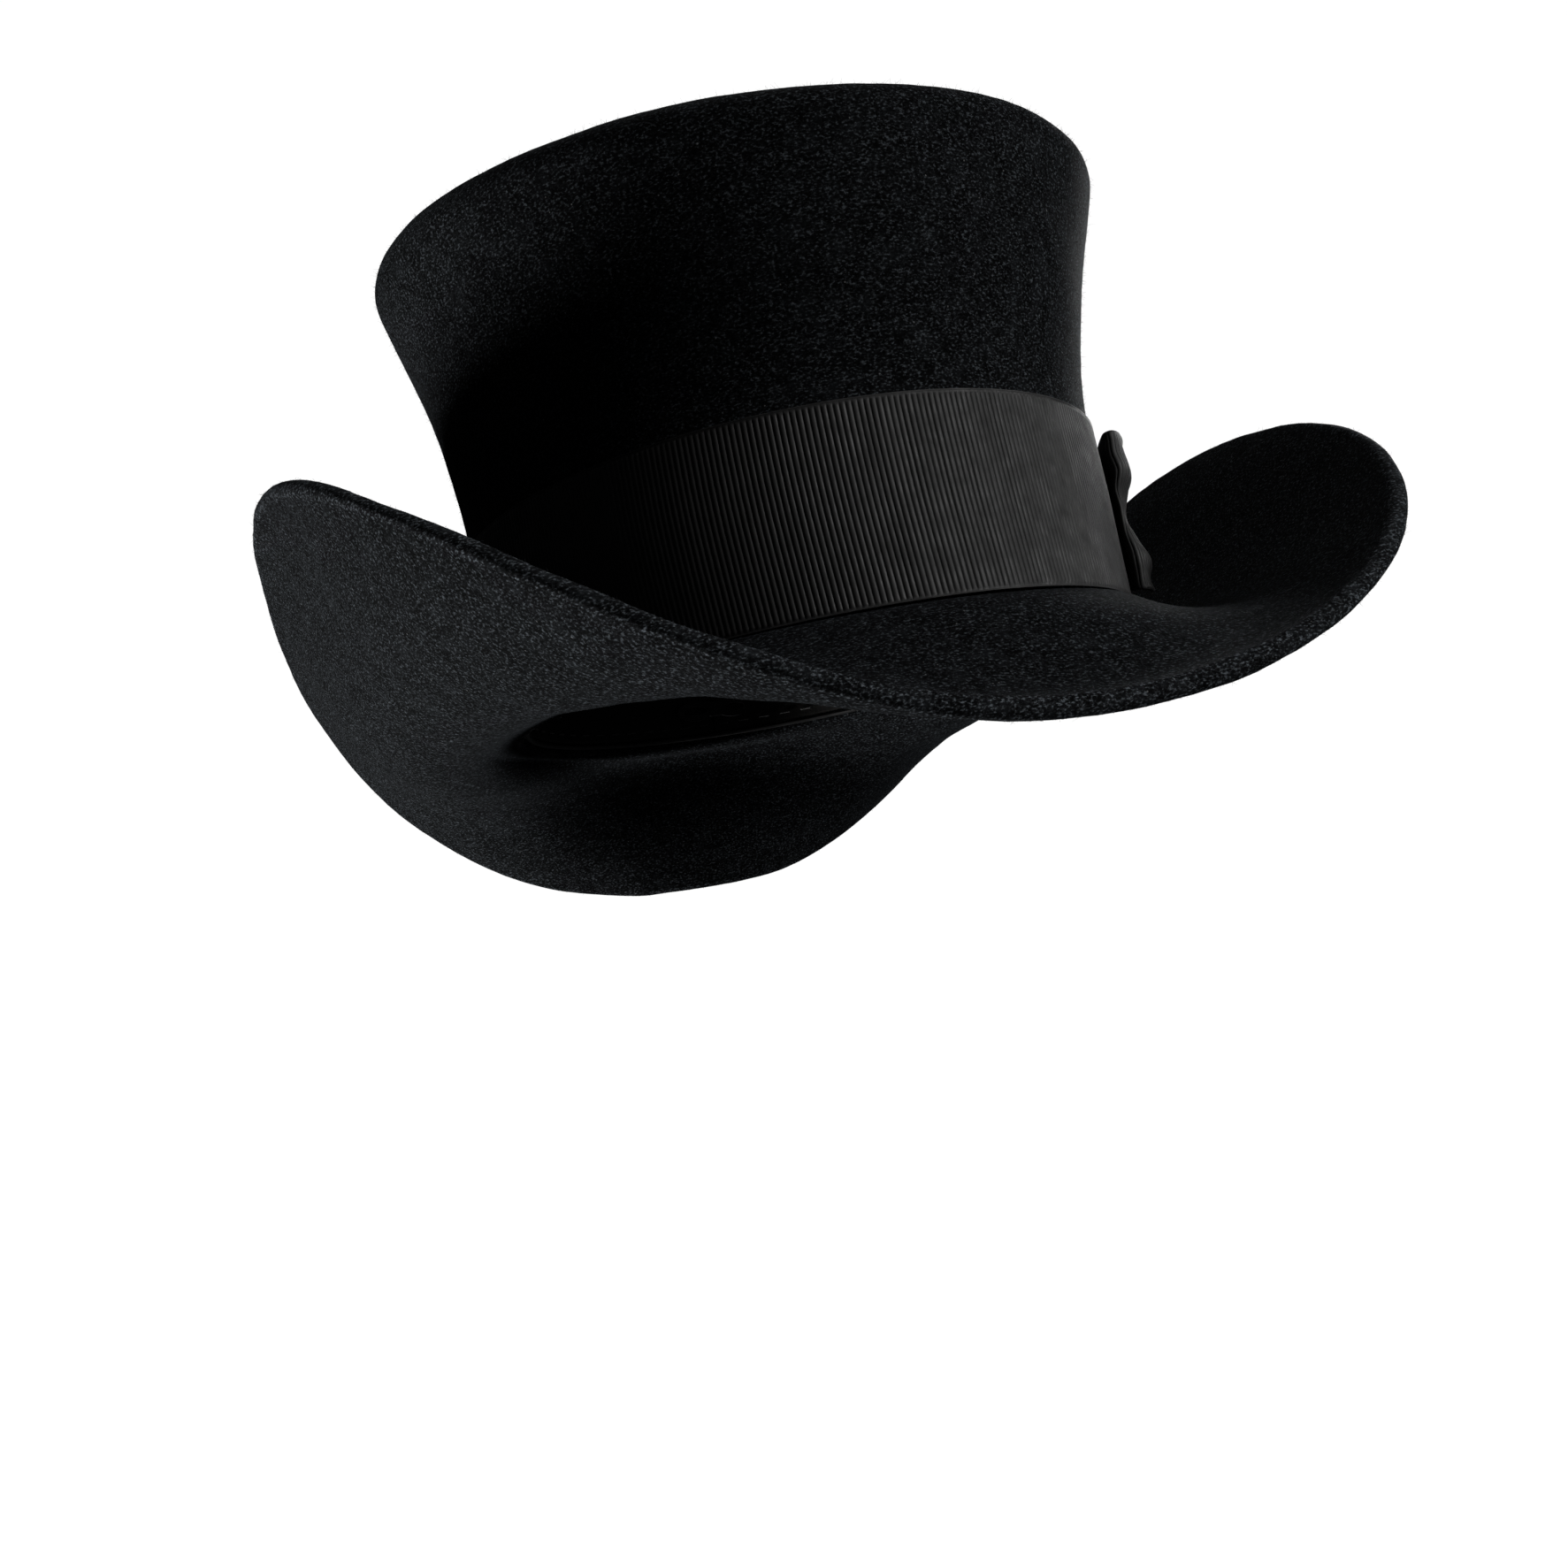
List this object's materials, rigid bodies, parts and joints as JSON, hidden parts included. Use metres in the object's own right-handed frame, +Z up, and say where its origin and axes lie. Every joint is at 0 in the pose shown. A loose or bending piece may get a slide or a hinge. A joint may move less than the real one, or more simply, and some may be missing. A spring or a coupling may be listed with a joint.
{
  "type": "top_hat",
  "caption": "Black wool felt top hat with a bell crown, ribbed ribbon and side bow, and a brim curled up at the sides.",
  "frame": {"origin": "centre of the head opening, at the level where the crown meets the brim", "axes": "+Z up along the crown, -Y the front of the hat, +X the wearer's left, where the bow is"},
  "size_m": [0.3032, 0.3069, 0.2014],
  "materials": {
    "felt": "matte wool felt",
    "ribbon": "ribbed, low sheen",
    "leather": "smooth",
    "satin": "satin",
    "thread": "matte",
    "tape": "matte",
    "plastic": "matte",
    "card": "matte"
  },
  "bodies": {
    "root": {"crown_felt": "felt", "brim_felt": "felt", "join_stitches": "thread", "hatband": "ribbon", "hatband_tacks": "thread", "bow_underlay": "ribbon", "bow_front_loop": "ribbon", "bow_back_loop": "ribbon", "bow_knot": "ribbon", "sweatband": "leather", "sweatband_splice": "tape", "sweatband_reed": "plastic", "reed_tape": "tape", "sweatband_stitches": "thread", "sweatband_bow": "ribbon", "lining_side": "satin", "lining_tip": "satin", "lining_cord": "satin", "lining_tacks": "thread", "size_ticket": "card"}
  },
  "joints": []
}
